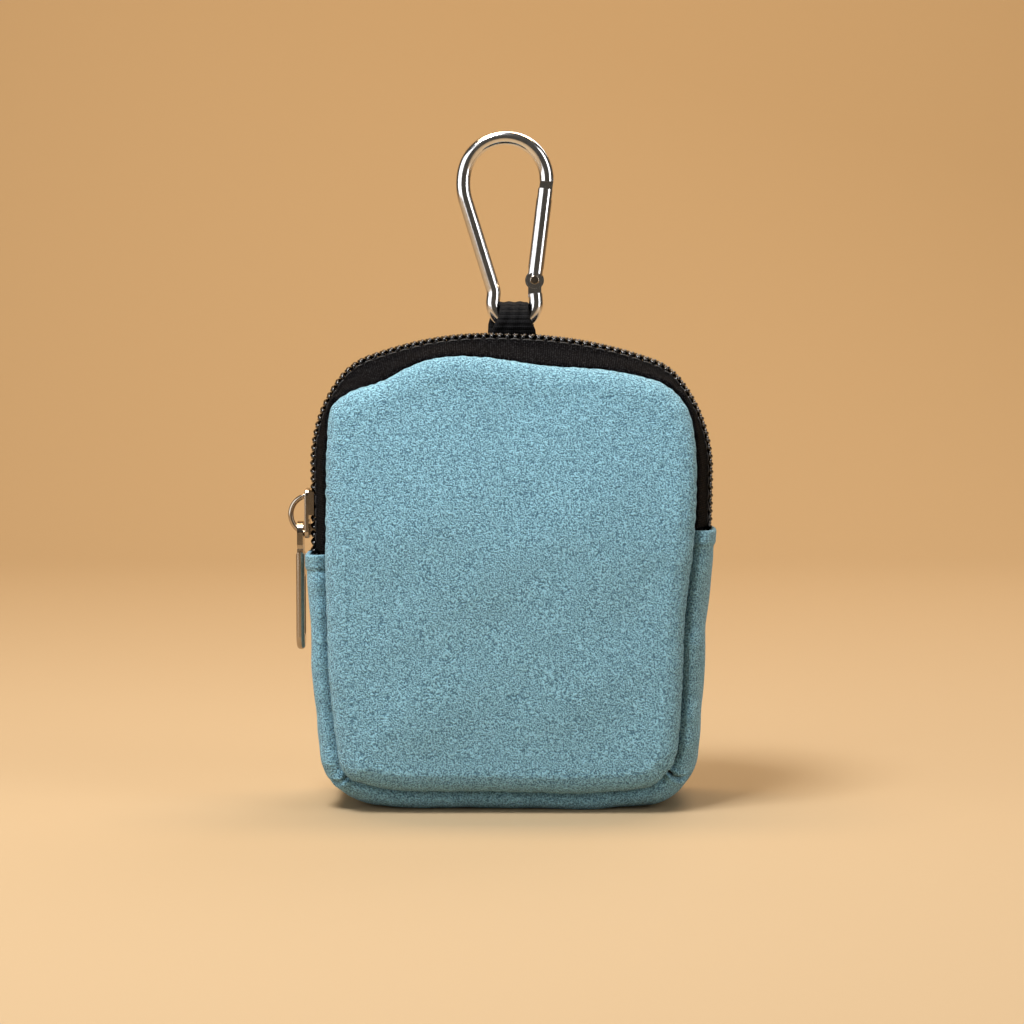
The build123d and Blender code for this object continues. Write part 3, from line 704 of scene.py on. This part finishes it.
def bandLift(run, across, y, inset):
    corner = np.exp(-((np.abs(run - halfRun) - 42) / 14) ** 2)
    crease = ripple(run, across * 0.5, zipSize["creasePitch"], 21) * (0.35 + 0.8 * corner)
    swell = ripple(run, across * 0.2, zipSize["swellPitch"], 22) * 0.5
    inside = np.clip((across - 1.0) / 2.0, 0, 1) * np.clip((13.5 - across) / 1.5, 0.3, 1)
    # both ends sink in to pass under the gusset
    sunk = -1.1 * (np.clip((rightFoot + 0.6 - run) / 0.9, 0, 1) + np.clip((run - leftFoot + 0.6) / 0.9, 0, 1))
    return zipSize["gather"] * (crease + swell) * inside + sunk


def backBandLift(run, across, y, inset):  # the back strip is measured across from its other edge
    return bandLift(run, 14.5 - across, y, inset)


def mirrored(profile):
    return [(-y, inset) for y, inset in profile[::-1]]


def coilPath(side):
    pitch = zipSize["coilPitch"]
    low, high = zipSize["coilReach"]
    outer, inner = zipSize["coilInset"]
    turns = (zipTo - zipFrom) / pitch
    phase = np.linspace(0, turns, round(turns * 18) + 1)
    angle = 2 * math.pi * (phase + (0.5 if side > 0 else 0))
    squareness = 0.82  # the filament is pressed flat at the head
    cross, stand = np.cos(angle), np.sin(angle)
    cross = np.sign(cross) * np.abs(cross) ** squareness
    y = side * ((low + high) / 2 - (high - low) / 2 * cross)
    inset = (outer + inner) / 2 - (inner - outer) / 2 * stand
    x, z, _, _ = ringPoint(zipFrom + phase * pitch, inset)
    return np.column_stack([x, y, z])


for side, body in ((-1, "front"), (1, "back")):
    bandProfile = zipSize["bandProfile"] if side < 0 else mirrored(zipSize["bandProfile"])
    tapeProfile = zipSize["tapeProfile"] if side < 0 else mirrored(zipSize["tapeProfile"])
    bandWave = bandLift if side < 0 else backBandLift
    title = body.capitalize()
    band = strip(f"zipBinding{title}", blackBinding, zipFrom, zipTo, bandProfile, zipSize["bandCloth"],
                 runStep=0.45, lift=bandWave)
    tape = strip(f"zipTape{title}", blackWeave, zipFrom, zipTo, tapeProfile, zipSize["tapeCloth"], runStep=1.0)
    coil = tube(f"zipCoil{title}", blackCoil, [coilPath(side)], zipSize["filament"], sides=8)
    stitches = []
    run = zipFrom + stitchSize["lead"]
    while run < zipTo - 5:
        steps = np.linspace(run, run + stitchSize["length"], 7)
        arch = np.sin(np.linspace(0, math.pi, 7))
        x, z, _, _ = ringPoint(steps, stitchSize["inset"] - stitchSize["arch"] * arch)
        stitches.append(np.column_stack([x, np.full_like(x, side * stitchSize["across"]), z]))
        run += stitchSize["pitch"]
    seam = tube(f"zipStitch{title}", blackThread, stitches, stitchSize["thread"], sides=7)
    for piece, node, slotName in ((band, "binding", "black_cloth"), (tape, "tape", "zip_tape"),
                                  (coil, "coil", "coil_nylon"), (seam, None, "black_cloth")):
        if side < 0:
            withFlap(piece)
        else:
            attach(piece, "pouch")
        if node and side < 0:
            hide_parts(f"zip_{node}_foot", f"zip_{node}_front")
        elif node:
            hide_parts(f"zip_{node}_back")
print("zip made")

# bias bindings over the raw seam edges inside the pouch, in millimetres
biasSize = {"inset": 7.2, "from": 12.6, "to": 16.2, "cloth": 0.7}
for side, body in ((-1, "front"), (1, "back")):
    ends = sorted((side * biasSize["from"], side * biasSize["to"]))
    bias = strip(f"seamBinding{body.capitalize()}", blackBinding, 0, 2 * halfRun,
                 [(ends[0], biasSize["inset"]), (sum(ends) / 2, biasSize["inset"] - 0.15),
                  (ends[1], biasSize["inset"])],
                 biasSize["cloth"], runStep=0.9, closed=True,
                 lift=lambda run, across, y, inset: 0.12 * ripple(run, y, 3.5, 31))
    if side < 0:
        withFlap(bias)
        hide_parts("seam_binding_front_lower", "seam_binding_front_upper")
    else:
        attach(bias, "pouch")
        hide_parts("seam_binding_back")
print("seam bindings made")

# webbing loop: one length of ribbed nylon, folded over the carabiner's eye and sewn down behind the zip, in
# millimetres
webSize = {
    "path": ((16.2, 109.1), (13.5, 109.85), (11.4, 110.6), (11.1, 112.2), (11.5, 115.4), (11.3, 118.0),
             (10.0, 119.9), (8.0, 120.6), (6.0, 119.9), (4.7, 118.0), (4.5, 115.4), (5.6, 112.8), (7.4, 111.6)),
    # half width and sideways place along the path; the carabiner's legs pinch it at the top
    "widths": ((0, 5.5), (6, 5.7), (9.5, 5.6), (13, 4.6), (15.5, 3.8), (18, 3.45), (20.5, 3.8), (23.5, 5.3),
               (27, 5.8)),
    "centre": ((0, -0.5), (13, -0.15), (18, 0.55), (27, 0.3)),
    "thick": 1.0,
    "ribPitch": 1.15,
    "ribDepth": 0.16,
    "sway": 0.12,
    "clothHalfWidth": 5.5,  # of the webbing lying flat
}


def makeWebbing():
    path, along = smoothPath(webSize["path"], 0.14)
    knots = np.array(webSize["widths"])
    scale = along[-1] / knots[-1, 0]
    halfWidth = np.interp(along, knots[:, 0] * scale, knots[:, 1])
    places = np.array(webSize["centre"])
    centre = np.interp(along, places[:, 0] * scale, places[:, 1])
    tangent = np.gradient(path, axis=0)
    tangent /= np.linalg.norm(tangent, axis=1)[:, None]
    normal = np.column_stack([tangent[:, 1], -tangent[:, 0]])
    lateral = np.linspace(-1, 1, 25)
    half = webSize["thick"] / 2
    rows, cloth = [], []
    for i in range(len(path)):
        rib = abs(math.sin(math.pi * along[i] / webSize["ribPitch"])) - 0.6
        for face in (1, -1):
            for share in (lateral if face > 0 else lateral[::-1]):
                edge = math.sqrt(max(0.0, 1 - max(0, abs(share) - 0.86) ** 2 / 0.14**2)) * 0.75 + 0.25
                ribbed = webSize["ribDepth"] * rib * (1 - 0.5 * (abs(share) > 0.9))
                sway = webSize["sway"] * math.sin(9 * share + along[i] * 0.6)
                depth = face * (half + ribbed) * edge + sway
                y, z = path[i] + normal[i] * depth
                rows.append((centre[i] + share * halfWidth[i], y, z))
                cloth.append((along[i], share * webSize["clothHalfWidth"], face))
    faces = loopFaces(len(path), 2 * len(lateral), False)
    return meshObject("webbingLoop", np.array(rows) * mm, faces, np.array(cloth) * mm, blackWeave)


webbing = makeWebbing()
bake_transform(webbing)
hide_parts("webbing_loop", "webbing_tail")
print("webbing made")

# the metal pieces are the CAD's own, with their finish put on
for material, nodes in ((brightRod, ("carabiner_frame", "gate")),
                        (nickelPlate, ("slider_body", "slider_bail", "pull_tab", "gate_rivet", "gate_plunger",
                                       "gate_spring"))):
    for node in nodes:
        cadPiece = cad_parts[node]
        cadPiece.data.materials.clear()
        cadPiece.data.materials.append(material)
print("metal finished")

# plain studio: a pale sand floor that sweeps up behind; a key light above in front, a wide soft light at the
# left, a strip at the right, a rear light that casts the soft shadow, and a warm one on the back of the sweep
studio = {
    "floor": "#9C8768",
    "floorHalfWidth": 2.5,  # metres, as are the next four
    "floorFront": -0.95,
    "floorRear": 0.7,
    "sweepRadius": 0.6,
    "sweepTop": 2.4,
    "keyPower": 6.1,
    "leftPower": 9.0,
    "rightPower": 4.0,
    "rearPower": 2.4,
    "backPower": 36.0,
    "world": 0.08,
}


def floorPaint(tree):  # matt painted board
    return addNode(tree, "ShaderNodeBsdfPrincipled", {
        "Base Color": linear(studio["floor"]), "Roughness": 0.85,
    }).outputs[0]


def makeStage():
    rear, radius, side = studio["floorRear"], studio["sweepRadius"], studio["floorHalfWidth"]
    profile = [(studio["floorFront"], 0.0), (rear, 0.0)]
    for i in range(1, 25):
        angle = math.pi / 2 * i / 24
        profile.append((rear + radius * math.sin(angle), radius - radius * math.cos(angle)))
    profile.append((rear + radius, studio["sweepTop"]))
    verts, faces = [], []
    for y, z in profile:
        verts += [(-side, y, z), (side, y, z)]
    for i in range(len(profile) - 1):
        faces.append((2 * i, 2 * i + 1, 2 * i + 3, 2 * i + 2))
    mesh = bpy.data.meshes.new("floorSweep")
    mesh.from_pydata(verts, [], faces)
    mesh.polygons.foreach_set("use_smooth", [True] * len(mesh.polygons))
    mesh.materials.append(newMaterial("paleFloor", floorPaint))
    floor = bpy.data.objects.new("floorSweep", mesh)
    bpy.context.scene.collection.objects.link(floor)


def addLight(name, place, target, size, power, colour):
    data = bpy.data.lights.new(name, "AREA")
    data.shape = "RECTANGLE"
    data.size, data.size_y = size
    data.energy = power
    data.color = linear(colour)[:3]
    lamp = bpy.data.objects.new(name, data)
    bpy.context.scene.collection.objects.link(lamp)
    lamp.location = place
    lamp.rotation_euler = aimed(place, target)


def aimed(place, target):
    direction = [t - p for p, t in zip(place, target)]
    return (math.atan2(math.hypot(direction[0], direction[1]), -direction[2]), 0,
            math.atan2(direction[1], direction[0]) - math.pi / 2)


makeStage()
addLight("keyLight", (-0.17, -0.22, 0.62), (0, 0, 0.06), (0.2, 0.2), studio["keyPower"], "#FFFFFF")
addLight("leftLight", (-1.0, -0.6, 0.4), (0, 0, 0.08), (1.3, 1.1), studio["leftPower"], "#FFFFFF")
addLight("rightLight", (0.75, -0.42, 0.35), (0, 0, 0.08), (0.34, 0.9), studio["rightPower"], "#FFFFFF")
addLight("rearLight", (0.35, 0.6, 0.75), (0, 0, 0.05), (0.5, 0.5), studio["rearPower"], "#FFFFFF")
addLight("backLight", (0.0, 0.35, 1.5), (0, 1.2, 0.5), (1.6, 0.5), studio["backPower"], "#FFDDB0")
bpy.context.scene.view_settings.view_transform = "Standard"
world = bpy.data.worlds.new("softRoom")
bpy.context.scene.world = world
world.use_nodes = True
world.node_tree.nodes["Background"].inputs[0].default_value = linear("#F1E4D0")
world.node_tree.nodes["Background"].inputs[1].default_value = studio["world"]

# lens in mm, elevation in degrees, distance and height of the aim in metres
cameraSize = {"lens": 85.0, "distance": 0.586, "elevation": 3.5, "height": 0.0701}
lift = math.radians(cameraSize["elevation"])
eye = (0.0, -cameraSize["distance"] * math.cos(lift),
       cameraSize["height"] + cameraSize["distance"] * math.sin(lift))
cameraData = bpy.data.cameras.new("camera")
cameraData.lens = cameraSize["lens"]
cameraData.clip_start = 0.01
camera = bpy.data.objects.new("camera", cameraData)
bpy.context.scene.collection.objects.link(camera)
camera.location = eye
camera.rotation_euler = aimed(eye, (0, 0, cameraSize["height"]))
bpy.context.scene.camera = camera
print("stage, light and camera made")
